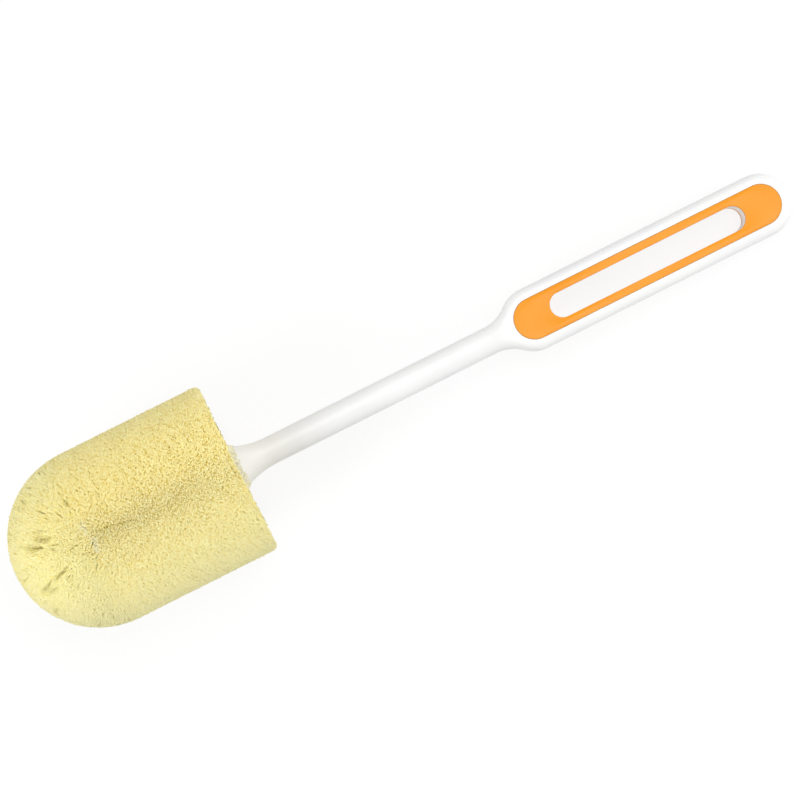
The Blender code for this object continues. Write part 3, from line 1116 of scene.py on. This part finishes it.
    def parted(self, points: np.ndarray) -> tuple[np.ndarray, np.ndarray]:
        """How the partings push points aside, and how deep they are there.

        Beside a parting, a point moves square to its line by the width, times a bell curve of its
        distance across and a bell curve of its distance along. The depth is the same without the
        change of side.

        Args:
            points: Points near the head's surface.

        Returns:
            Offsets, and one depth for each point.
        """
        # Distance over which the push changes from one side of the line to the other.
        fold = 0.0001
        offset, depth = np.zeros_like(points), np.zeros(len(points))
        for parting in self.all_partings():
            across, sideways, near = self.beside(parting, points)
            bell = near * parting.width
            offset += across * (bell * np.tanh(sideways / fold))[:, None]
            depth += bell
        return offset, depth

    def beside(self, parting: Parting, points: np.ndarray) -> tuple[np.ndarray, np.ndarray, np.ndarray]:
        """Where points lie beside a parting's line, which wanders a little.

        The line sways by a sine of the distance along it. The nearness is a bell curve of the
        distances along the line, across it and under the surface.

        Args:
            parting: The parting.
            points: Points near the head's surface.

        Returns:
            Direction square to the line, distance from it, and nearness from 0 to 1.
        """
        # Size and length of the line's sway, and how far under the surface a parting reaches.
        sway, wave, under = 0.00012, 0.0009, 0.012
        centre = np.array([parting.centre])
        normal = self.outward(centre)[0]
        line = np.array(parting.along) - normal * (np.array(parting.along) @ normal)
        line /= np.linalg.norm(line)
        across = np.cross(normal, line)
        away = points - centre
        lengthways = away @ line
        sideways = away @ across + sway * np.sin(lengthways / wave)
        near = np.exp(-(lengthways / parting.length) ** 2 - (sideways / parting.reach) ** 2
                      - (away @ normal / under) ** 2)
        return across, sideways, near

    def leaned(self, tips: np.ndarray, aside: np.ndarray) -> np.ndarray:
        """Move tips aside along the surface, and add the tufts' drift.

        Args:
            tips: Tips on the head's surface.
            aside: What the partings push them by.

        Returns:
            The tips moved along the surface, and drawn back onto it.
        """
        # Distance over which the round end's stronger drift comes on, and the drift on the cylinder.
        fade, drift = 0.012, 0.00008
        normal = self.outward(tips)
        dome = smooth_share(-tips[:, 0:1] / fade)
        offset = self.drift(tips) * (drift + drift * dome) + aside
        return self.held(tips + offset - normal * np.sum(offset * normal, axis=1, keepdims=True))

    def shortened(self, place: np.ndarray, dome: np.ndarray, pit: np.ndarray,
                  chance: np.random.Generator) -> np.ndarray:
        """How far under the head's outline each filament is cut.

        It is the sum of the cut's unevenness, of the pits, of the round end's raggedness times a
        chance squared, and of the collar's worn edge, which is the radius of the rounding less the
        root of squares with the distance into it. A few stray filaments stand proud.

        Args:
            place: Places of the tips.
            dome: Share of the round end in each place.
            pit: Share of a pit in each place.
            chance: Random numbers.

        Returns:
            One length for each filament.
        """
        # The most that the cut is uneven, in typical sizes, and the share of stray filaments.
        most, strays = 2.5, 0.008
        count = len(place)
        uneven = np.minimum(np.abs(chance.normal(0, 1, count)), most)
        short = self.trim * uneven + self.pits * pit + self.ragged * dome * chance.uniform(0, 1, count) ** 2
        short -= self.stray * (chance.uniform(0, 1, count) < strays)
        inside = self.rim_round - np.minimum((2 - place) * self.straight, self.rim_round)
        return short + (self.rim_round - np.sqrt(self.rim_round ** 2 - inside ** 2))

    def dye_and_painted_light(self, surface: np.ndarray, dome: np.ndarray, chance: np.random.Generator) -> np.ndarray:
        """How pale each filament is: its own share of dye, and painted light that depends on where on the
        head it stands.

        The round end and the flank at negative y are made paler as painted light, and the outermost
        strip on both flanks as a painted sheen. The patches of painted highlight are the palest.

        Args:
            surface: Tips on the head's surface.
            dome: Share of the round end in each place.
            chance: Random numbers.

        Returns:
            One value from 0 to 1 for each filament.
        """
        # The two powers of the beta distribution of the dye, the painted light that each place adds, and the
        # most of it all.
        powers, on_dome, flank_painted_light, strips_painted_sheen, palest = (0.9, 1.8), 0.30, 0.20, 0.22, 0.85
        flank = surface[:, 1] / self.radius
        # Painted light: the round end, the flank at negative y and the outermost strips are made paler.
        shade = chance.beta(*powers, len(surface)) + on_dome * dome
        shade = np.clip(shade + flank_painted_light * (1 - flank) + strips_painted_sheen * flank ** 4, 0, palest)
        # Painted highlight: the patches make the filaments there paler.
        for patch in self.painted_highlights:
            shade += patch.width * self.beside(patch, surface)[2]
        return np.clip(shade, 0, 1)

    def grow(self) -> Filaments:
        """Work out every filament of the head.

        A filament runs on the line from the core's outline to the head's outline at the same place
        and angle. Only its upper part is modelled, except on the collar's face, where whole filaments
        show.

        Returns:
            All filaments, ordered from the tip of the head to the collar.
        """
        # Places from which whole filaments show and the collar is frayed, and by how much it is.
        back_start, frayed_start, frayed = 1.95, 1.97, 0.00045
        # Place at which the round end gives way to the cylinder, and the breadth of that change.
        dome_edge, dome_fade = 1.05, 0.25
        # How much lower ends scatter in place and angle, and bends in space.
        root_spread, angle_spread, bend_spread = 0.012, 0.03, 0.00008
        # Where the modelled part starts between core and surface: at the collar, on the cylinder, and
        # how much sooner on the round end.
        back_root, tube_root, dome_sooner = 0.02, 0.80, 0.14
        # The bend's place between the ends, its bulge on the round end, and the range of thickness.
        bend_share, bulge, uneven_thickness = 0.45, 0.25, (0.85, 1.15)
        # Push at which a parting's painted shade is full. Painted light at the bend, and the painted shade
        # that partings and pits add there and at the cut end.
        full_push, side_light, parting_painted_shade_side, parting_painted_shade_tip, pit_painted_shade = 0.0004, 0.75, 0.3, 0.35, 0.5

        chance = np.random.default_rng(self.seed)
        place, angle = self.lattice(chance)
        count = len(place)
        dome = smooth_share((dome_edge - place) / dome_fade)
        surface = self.spun(self.radius, self.straight, place, angle)
        aside, parted = self.parted(surface)
        pit = self.pit_share(surface)
        beside = np.minimum(parted / full_push, 1)
        short = self.shortened(place, dome, pit, chance)
        tip = self.leaned(surface, aside) - self.outward(surface) * short[:, None]
        tip[:, 0] += chance.uniform(0, 1, count) ** 2 * frayed * (place > frayed_start)
        root_place = np.clip(place + chance.normal(0, root_spread, count), 0, 2)
        foot = self.spun(self.core_radius, self.core_straight, root_place,
                         angle + chance.normal(0, angle_spread, count))
        start = np.where(place > back_start, back_root, tube_root - dome_sooner * dome)[:, None]
        root = foot + (surface - foot) * start
        bend = root + (tip - root) * bend_share + chance.normal(0, bend_spread, (count, 3))
        bend += (surface - tip) * bulge * dome[:, None]
        shade = self.dye_and_painted_light(surface, dome, chance)
        thick = np.where(place < 1, *self.thickness) * chance.uniform(*uneven_thickness, count)
        # Painted shade: partings and pits lower along at the bend and at the cut end.
        hair = Filaments(root, bend, tip, place, shade, side_light - parting_painted_shade_side * beside,
                         1 - pit_painted_shade * pit - parting_painted_shade_tip * beside, thick)
        return hair.joined(self.fringe(chance))

    def fringe(self, chance: np.random.Generator) -> Filaments:
        """Fine filaments, made pale as painted light, that lean out of the collar over the flare's edge.

        They start beside the core, inside the head, and their tips lie on the flare: the radius there
        is the flare's own plus up to 0.3 mm.

        Args:
            chance: Random numbers.

        Returns:
            The filaments, placed in the collar's row.
        """
        # Number, depth of the lower ends in the head, reach over the flare and the power of its chance.
        count, inside, reach, power = 900, 0.0060, 0.0021, 1.3
        # Least and most clearance over the flare's radius, at the lower end, the bend and the tip.
        clear = ((0.0010, 0.0030), (0.0002, 0.0006), (0.0000, 0.0003))
        # The bend's share of the reach, the tips' scatter round the axis, the pale shades and high along of
        # painted light, and what all share.
        bend_share, turn_spread, painted_light_shades, light, thick = 0.3, 0.05, (0.92, 1.0), 0.9, 0.00009
        angle = chance.uniform(0, FULL_TURN, count)
        over = chance.uniform(0, 1, count) ** power * reach
        x = self.straight + np.stack([np.full(count, -inside), over * bend_share, over])
        away = self.handle.flare_at(x) + np.stack([chance.uniform(*limits, count) for limits in clear])
        turned = np.stack([angle, angle, angle + chance.normal(0, turn_spread, count)])
        # Painted light: pale shades and a high along keep the shaded fringe bright.
        return Filaments(*around(x, away, turned), np.full(count, self.fringe_place),
                         chance.uniform(*painted_light_shades, count), np.full(count, light), np.full(count, light),
                         np.full(count, thick))

    def held(self, points: np.ndarray) -> np.ndarray:
        """Draw points that left the head's outline back onto it.

        Args:
            points: Points near the head's surface.

        Returns:
            The points, none of them further from the round end's centre or the axis than the radius.
        """
        centre = np.zeros_like(points)
        centre[:, 0] = np.maximum(points[:, 0], 0)
        away = points - centre
        length = np.linalg.norm(away, axis=1, keepdims=True)
        return centre + away * np.minimum(1, self.radius / np.maximum(length, TINY))

    def rows(self) -> list[tuple[str, float, float]]:
        """List the CAD's rows from the tip to the collar.

        Returns:
            Each row's name, first place and last place.
        """
        places = [i / self.dome_rows for i in range(self.dome_rows + 1)]
        places += [1 + i / self.straight_rows for i in range(1, self.straight_rows + 1)]
        total = len(places) - 1
        names = ["bristle_tip"] + [f"bristle_row_{number:02d}" for number in range(total - 1, 0, -1)]
        return list(zip(names, places, places[1:]))

    def band(self, start: float, end: float) -> tuple[np.ndarray, np.ndarray, np.ndarray, np.ndarray]:
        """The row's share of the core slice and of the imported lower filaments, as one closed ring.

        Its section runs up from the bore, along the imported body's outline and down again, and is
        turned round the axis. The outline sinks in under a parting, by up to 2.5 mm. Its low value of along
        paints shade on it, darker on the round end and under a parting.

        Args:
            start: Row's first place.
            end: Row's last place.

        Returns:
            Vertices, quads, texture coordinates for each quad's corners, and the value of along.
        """
        steps, across = 120, 7
        # Where the round end gives way to the cylinder, and the least distance from the axis.
        dome_edge, dome_fade, pinhole = 1.1, 0.2, 1e-5
        # How many times a parting's push the outline sinks, and the most that it does.
        sinking, deepest = 4, 0.0025
        # Value of along on the cylinder, how much less on the round end, and the push that darkens it: all
        # painted shade.
        light, dome_painted_shade, shadow = 0.45, 0.1, 0.0005
        # The strip's place in the texture: left end, length, lower edge and height.
        strip_left, strip_length, strip_low, strip_height = 0.01, 0.98, 0.885, 0.11
        place = np.linspace(start, end, across)
        dome = smooth_share((dome_edge - place) / dome_fade)
        depth = self.mass_depth[1] + (self.mass_depth[0] - self.mass_depth[1]) * dome
        outer = np.array(self.outline(self.radius - depth, self.mass_straight, place)).T
        inner = np.array(self.outline(self.bore_radius, self.core_straight, np.array([end, start]))).T
        section = np.concatenate([outer, inner])
        section[:, 1] = np.maximum(section[:, 1], pinhole)
        rows = len(section)
        angle = np.linspace(0, FULL_TURN, steps, endpoint=False)
        points = around(section[:, :1], section[:, 1:], angle).reshape(-1, 3)
        sunk = self.parted(points)[1]
        sunk[across * steps:] = 0
        points -= self.outward(points) * np.minimum(sinking * sunk, deepest)[:, None]
        # Painted shade: the band takes the depth's colour, more on the round end and under partings.
        along = np.concatenate([light - dome_painted_shade * dome, [0.0, 0.0]]).repeat(steps) * np.exp(-sunk / shadow)
        lower = np.arange(rows)[:, None] / rows
        left = np.arange(steps)[None, :] / steps
        corner_u = np.stack([left, left + 1 / steps, left + 1 / steps, left], axis=-1)
        corner_v = np.stack([lower, lower, lower + 1 / rows, lower + 1 / rows], axis=-1)
        uv = np.stack(np.broadcast_arrays(strip_left + strip_length * corner_u,
                                          strip_low + strip_height * corner_v), axis=-1)
        return points, ring_quads(rows, steps, True), uv.reshape(-1, 2), along

    def strands(self, hair: Filaments, curved: bool,
                chance: np.random.Generator) -> tuple[np.ndarray, np.ndarray]:
        """The corner points of every filament: rings of three, the last one cut at a slant.

        Two directions square to the filament carry each ring's corners at three even turns, by the
        filament's radius times cosine and sine.

        Args:
            hair: The filaments.
            curved: Whether they have a third ring between their ends.
            chance: Random numbers for roll and slant.

        Returns:
            Vertices of shape (count, rings, 3, 3), and the value of along for each ring.
        """
        # Share of y from which z helps to find a square direction, typical slant of the cut, and the
        # section's share of the full radius at the lower end and at the bend.
        sideways, slant_spread, root_share, bend_share = 0.7, 0.15, 0.6, 0.95
        count = len(hair.tip)
        line = hair.tip - hair.root
        line /= np.linalg.norm(line, axis=1, keepdims=True)
        helper = np.where(np.abs(line[:, 1:2]) < sideways, [[0.0, 1.0, 0.0]], [[0.0, 0.0, 1.0]])
        one = np.cross(line, helper)
        one /= np.linalg.norm(one, axis=1, keepdims=True)
        two = np.cross(line, one)
        roll = chance.uniform(0, FULL_TURN, count)[:, None] + np.arange(3) * FULL_TURN / 3
        spoke = (np.cos(roll)[..., None] * one[:, None] + np.sin(roll)[..., None] * two[:, None])
        spoke = spoke * hair.thick[:, None, None]
        slant = chance.normal(0, slant_spread, (count, 2))
        fall = np.cos(roll) * slant[:, :1] + np.sin(roll) * slant[:, 1:]
        fall = (fall - fall.max(axis=1, keepdims=True)) * hair.thick[:, None]
        stack = np.stack([hair.root[:, None] + spoke * root_share, hair.bend[:, None] + spoke * bend_share,
                          hair.tip[:, None] + spoke + line[:, None] * fall[..., None]], axis=1)
        along = np.stack([np.zeros(count), hair.deep, hair.top], axis=1)
        return (stack, along) if curved else (stack[:, ::2], along[:, ::2])

    def faces(self, count: int, levels: int, start: int) -> tuple[np.ndarray, np.ndarray]:
        """Index the filaments' faces: three side quads between two rings, and a triangle at each end.

        Args:
            count: Number of filaments.
            levels: Number of rings in each.
            start: Index of the first filament's first vertex.

        Returns:
            Quads and triangles.
        """
        first = (start + np.arange(count) * levels * 3)[:, None, None]
        side = np.array([[(ring + up) * 3 + (edge + across) % 3 for across, up in CELL]
                         for ring in range(levels - 1) for edge in range(3)])
        last = levels * 3 - 1
        ends = np.array([[0, 1, 2], [last, last - 1, last - 2]])
        return (first + side).reshape(-1, 4), (first + ends).reshape(-1, 3)

    def cells(self, count: int, levels: int) -> np.ndarray:
        """Texture coordinates of the filaments' faces, all sides first and then all ends.

        A filament has a square cell of its own, below the band's strip. The cell holds the three
        sides beside each other and the two ends above them.

        Args:
            count: Number of filaments.
            levels: Number of rings in each.

        Returns:
            One pair of coordinates for each corner of a face.
        """
        # Height of all cells together, and in a cell the margin, a side's width and the sides' height.
        filled, margin, side_width, side_height = 0.87, 0.08, 0.28, 0.54
        # Corners of the two end triangles in a cell.
        ends = np.array([[[0.08, 0.7], [0.4, 0.7], [0.24, 0.93]], [[0.56, 0.7], [0.9, 0.7], [0.73, 0.93]]])
        row = math.ceil(math.sqrt(count / filled))
        size = 1 / row
        corner = (np.stack([np.arange(count) % row, np.arange(count) // row], axis=-1) * size)[:, None, None]
        high = side_height / (levels - 1)
        sides = np.array([[[margin + side_width * (edge + across), margin + high * (ring + up)]
                           for across, up in CELL] for ring in range(levels - 1) for edge in range(3)])
        return np.concatenate([(corner + sides * size).reshape(-1, 2), (corner + ends * size).reshape(-1, 2)])

    def row_mesh(self, name: str, hair: Filaments, start: float, end: float) -> bpy.types.Mesh:
        """One row's mesh: its band and its filaments, with attributes and texture coordinates.

        Args:
            name: Mesh name.
            hair: The row's filaments.
            start: Row's first place.
            end: Row's last place.

        Returns:
            The finished mesh.
        """
        # The least height over the table.
        off_table = 0.00008
        # Each row has random numbers of its own.
        chance = np.random.default_rng([self.seed, int(start * 1000)])
        curved = start < 1 or end >= 2
        stack, along = self.strands(hair, curved, chance)
        count, levels = stack.shape[:2]
        base, band_quads, band_uv, band_along = self.band(start, end)
        points = LIE.to_world(np.concatenate([base, stack.reshape(-1, 3)]))
        points[:, 2] = np.maximum(points[:, 2], off_table)
        quads, triangles = self.faces(count, levels, len(base))
        mesh = filled(name, points, np.concatenate([band_quads, quads]), triangles)
        uv = np.concatenate([band_uv, self.cells(count, levels)])
        mesh.uv_layers.new(name="OFBake").uv.foreach_set("vector", uv.astype(np.float32).ravel())
        marks = {"along": np.concatenate([band_along, np.repeat(along, 3, axis=1).ravel()]),
                 "shade": np.concatenate([np.zeros(len(base)), np.repeat(hair.shade, levels * 3)])}
        for mark, values in marks.items():
            data = mesh.attributes.new(mark, "FLOAT", "POINT").data
            data.foreach_set("value", values.astype(np.float32))
        mesh.validate()
        return mesh

    def build(self, material: bpy.types.Material) -> list[bpy.types.Object]:
        """Grow the filaments, sort them into the CAD's rows, and dress each row.

        Args:
            material: The filaments' finish.

        Returns:
            The finished rows, from the tip to the collar.
        """
        hair = self.grow()
        pieces = []
        for name, start, end in self.rows():
            mine = hair.picked((hair.place >= start) & (hair.place < end))
            mesh = self.row_mesh(name.replace("bristle", "filaments"), mine, start, end)
            pieces.append(add_piece(mesh, material, "yellow_bristle", name))
        return pieces


# Studio


@dataclass(frozen=True)
class Lamp:
    """A square area lamp that faces the middle of the brush.

    Attributes:
        name: Its name.
        across: Place along the picture's right, in metres.
        above: Place along the picture's up, in metres.
        out: Distance towards the camera, in metres.
        size: Length of its side, in metres.
        watts: Its power.
    """

    name: str
    across: float
    above: float
    out: float
    size: float
    watts: float


@dataclass
class Studio:
    """A pale table, soft light and the photograph's camera.

    Attributes:
        aim: The point that the camera looks at, in the brush's own frame, in metres.
        distance: Camera's distance from that point, in metres.
        lean: Angle in degrees by which the camera stands towards the bristle head.
        breadth: Breadth of the picture at that distance, in metres.
        sensor: Width of the camera's sensor in millimetres.
        clip: Distances between which the camera sees, in metres.
        roll: Angle in degrees by which the brush rises to the right in the picture.
        sky: Strength of the even light from all round.
        middle: The point that the lamps face, in the brush's own frame, in metres.
        lamps: A large lamp beside the camera, one at the head's end on the left, and one beyond the
            grip's end on the right.
        half_table: Half the table's side, in metres.
        bounce: How much light the table gives back to the brush.
        paper: How much of the light on the table the camera sees.
        lift: What the camera sees in the table besides, so that it is white.
    """

    aim: tuple[float, float, float] = (0.10706, -0.00416, 0.0)
    distance: float = 1.2
    lean: float = 2.5
    breadth: float = 0.2598
    sensor: float = 36.0
    clip: tuple[float, float] = (0.05, 20.0)
    roll: float = 26.6
    sky: float = 0.47
    middle: tuple[float, float, float] = (0.09, 0.0, 0.0)
    lamps: tuple[Lamp, ...] = (
        Lamp("key", 0.05, 0.42, 1.21, size=0.9, watts=7.8),
        Lamp("side", -0.65, -0.53, 0.62, size=0.5, watts=4.3),
        Lamp("end", 0.8, 0.18, 0.22, size=0.4, watts=2.6),
    )
    half_table: float = 6.0
    bounce: float = 0.75
    paper: float = 0.16
    lift: float = 0.84

    def axes(self) -> tuple[np.ndarray, np.ndarray, np.ndarray]:
        """Work out the picture's directions from the camera's lean and the brush's roll.

        Returns:
            The picture's right, its up and the way back to the camera, in the world.
        """
        roll, lean = math.radians(self.roll), math.radians(self.lean)
        length = np.array([math.cos(lean), 0.0, math.sin(lean)])
        width = np.array([0.0, 1.0, 0.0])
        turn = LIE.turn()
        return (turn @ (length * math.cos(roll) - width * math.sin(roll)),
                turn @ (length * math.sin(roll) + width * math.cos(roll)),
                turn @ np.array([-math.sin(lean), 0.0, math.cos(lean)]))

    def stand(self, thing: bpy.types.Object, right: np.ndarray, up: np.ndarray, back: np.ndarray,
              place: np.ndarray) -> None:
        """Turn a camera or lamp, and put it in its place.

        Args:
            thing: The camera or lamp.
            right: Its own right, in the world.
            up: Its own up.
            back: The direction opposite to the one that it looks in.
            place: Its place in the world.
        """
        matrix = np.eye(4)
        matrix[:3] = np.column_stack([right, up, back, place])
        thing.matrix_world = Matrix(matrix.tolist())

    def camera(self) -> bpy.types.Object:
        """Set up the camera: nearly square to the grip's face, with the lens that gives the breadth.

        Returns:
            The camera.
        """
        data = bpy.data.cameras.new("camera")
        data.sensor_width = self.sensor
        data.lens = self.sensor * self.distance / self.breadth
        data.clip_start, data.clip_end = self.clip
        camera = put("camera", data)
        right, up, back = self.axes()
        self.stand(camera, right, up, back, LIE.to_world(np.array(self.aim)) + back * self.distance)
        bpy.context.scene.camera = camera
        return camera

    def shine(self, lamp: Lamp) -> None:
        """Add a lamp to the scene.

        Args:
            lamp: The lamp.
        """
        data = bpy.data.lights.new(lamp.name, "AREA")
        data.shape, data.size, data.energy = "SQUARE", lamp.size, lamp.watts
        right, up, back = self.axes()
        away = right * lamp.across + up * lamp.above + back * lamp.out
        side = np.cross(up, away)
        side /= np.linalg.norm(side)
        facing = away / np.linalg.norm(away)
        place = LIE.to_world(np.array(self.middle)) + away
        self.stand(put(lamp.name, data), side, np.cross(facing, side), facing, place)

    def seen(self, tree: bpy.types.NodeTree) -> bpy.types.NodeSocket:
        """Tell rays that show in the picture from rays that only light something.

        Args:
            tree: The node tree that asks.

        Returns:
            A value that is one for rays from the camera, mirrors and glass, and else zero.
        """
        path = add_node(tree, "ShaderNodeLightPath")
        either = add_node(tree, "ShaderNodeMath", {"operation": "MAXIMUM"},
                          in_0=path.outputs["Is Camera Ray"], in_1=path.outputs["Is Glossy Ray"])
        return add_node(tree, "ShaderNodeMath", {"operation": "MAXIMUM"},
                        in_0=either.outputs[0], in_1=path.outputs["Is Transmission Ray"]).outputs[0]

    def table(self) -> bpy.types.Object:
        """Lay the pale table: matt white that keeps shadows, lifted to white for the camera.

        Returns:
            The table.
        """
        half = self.half_table
        corners = [(x * half, y * half, 0.0) for x, y in ((-1, -1), (1, -1), (1, 1), (-1, 1))]
        mesh = bpy.data.meshes.new("table")
        mesh.from_pydata(corners, [], [(0, 1, 2, 3)])
        table = put("table", mesh)
        # Matt paper: it bounces most of the light, and the camera sees it lifted to a plain white.
        material = bpy.data.materials.new("matt_white_paper")
        tree = empty_tree(material)
        seen = self.seen(tree)
        bounce = add_node(tree, "ShaderNodeMix", {"data_type": "RGBA"}, in_0=seen,
                          in_6=(self.bounce,) * 3 + (1.0,), in_7=(self.paper,) * 3 + (1.0,))
        paper = add_node(tree, "ShaderNodeBsdfDiffuse", color=bounce.outputs[2])
        glow = add_node(tree, "ShaderNodeMath", {"operation": "MULTIPLY"}, in_0=seen, in_1=self.lift)
        lift = add_node(tree, "ShaderNodeEmission", strength=glow.outputs[0])
        both = add_node(tree, "ShaderNodeAddShader", in_0=paper.outputs[0], in_1=lift.outputs[0])
        add_node(tree, "ShaderNodeOutputMaterial", surface=both.outputs[0])
        mesh.materials.append(material)
        return table

    def world(self) -> None:
        """Light evenly from all round, and show plain white behind everything."""
        world = bpy.data.worlds.new("studio")
        bpy.context.scene.world = world
        tree = empty_tree(world)
        level = add_node(tree, "ShaderNodeMapRange", value=self.seen(tree), to_min=self.sky, to_max=1.0)
        light = add_node(tree, "ShaderNodeBackground", color=(1.0, 1.0, 1.0, 1.0),
                         strength=level.outputs[0])
        add_node(tree, "ShaderNodeOutputWorld", surface=light.outputs[0])

    def build(self) -> None:
        """Set up everything round the brush, and the plain view transform."""
        self.table()
        self.world()
        for lamp in self.lamps:
            self.shine(lamp)
        self.camera()
        bpy.context.scene.view_settings.view_transform = "Standard"


def main() -> None:
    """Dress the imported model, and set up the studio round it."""
    logging.basicConfig(level=logging.INFO, format="%(name)s: %(message)s")
    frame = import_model()
    handle = Handle()
    handle.build(WHITE_PP.build())
    rubber = ORANGE_TPR.build()
    for side in Side:
        GripInlay(handle, side).build(rubber)
    spine = frame["nodes"]["core_spine"]
    spine.data.materials.clear()
    spine.data.materials.append(NATURAL_PP.build())
    LOG.info("core_spine keeps its solid")
    BristleHead(handle).build(DyedFilament().build())
    Studio().build()
    bpy.context.view_layer.update()


if __name__ == "__main__":
    main()
